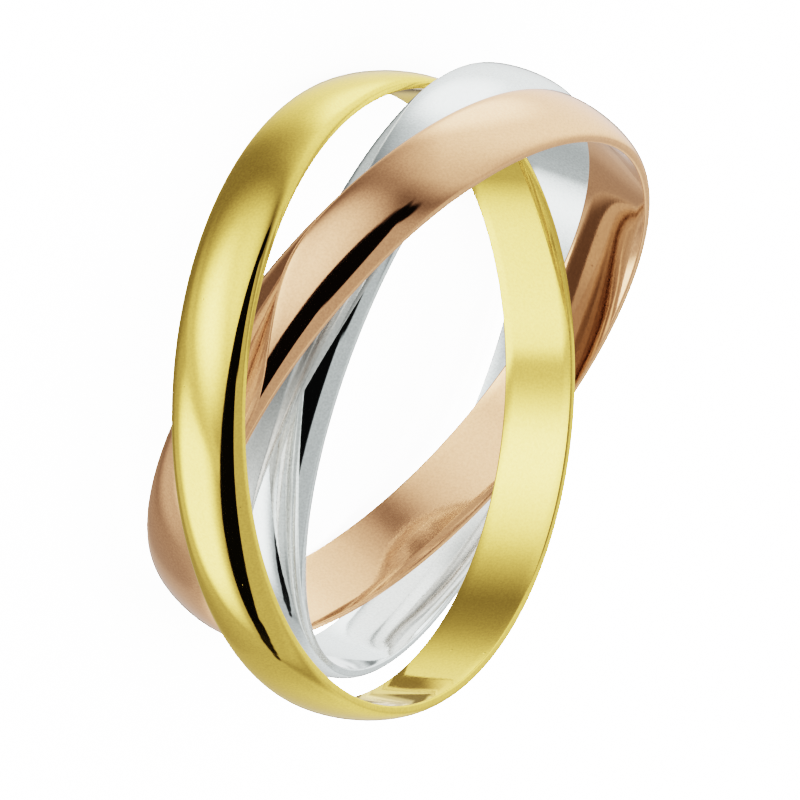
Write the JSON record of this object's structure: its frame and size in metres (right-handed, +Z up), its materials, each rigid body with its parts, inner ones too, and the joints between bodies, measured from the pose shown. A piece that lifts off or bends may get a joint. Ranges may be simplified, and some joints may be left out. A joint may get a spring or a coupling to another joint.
{
  "type": "rolling finger ring",
  "caption": "Rolling ring for a finger: slim domed bands of yellow, white and rose gold, linked through one another and free to turn.",
  "frame": {"origin": "middle of the box round the three bands, at the height of the surface that the ring lies on", "axes": "+Z up, through the finger hole of the ring as it lies on its side; -Y towards the side that the picture was taken from; +X to the right from there"},
  "size_m": [0.021, 0.023, 0.0084],
  "materials": {
    "yellow_gold": "polished yellow gold alloy",
    "white_gold": "polished white gold alloy with a bright plating",
    "rose_gold": "polished rose gold alloy"
  },
  "bodies": {
    "yellow": {"yellow_gold_band": "yellow_gold"},
    "white": {"white_gold_band": "white_gold"},
    "rose": {"rose_gold_band": "rose_gold"}
  },
  "joints": [
    {"name": "white_turn", "type": "hinge", "parent": "yellow", "child": "white", "pos_m": [-0.00044, 0.00152, 0.00342], "axis": [-0.0536, 0.171, 0.9838], "continuous": true},
    {"name": "rose_turn", "type": "hinge", "parent": "yellow", "child": "rose", "pos_m": [-0.00029, -0.00036, 0.00388], "axis": [0.2557, 0.1049, 0.9611], "continuous": true}
  ]
}
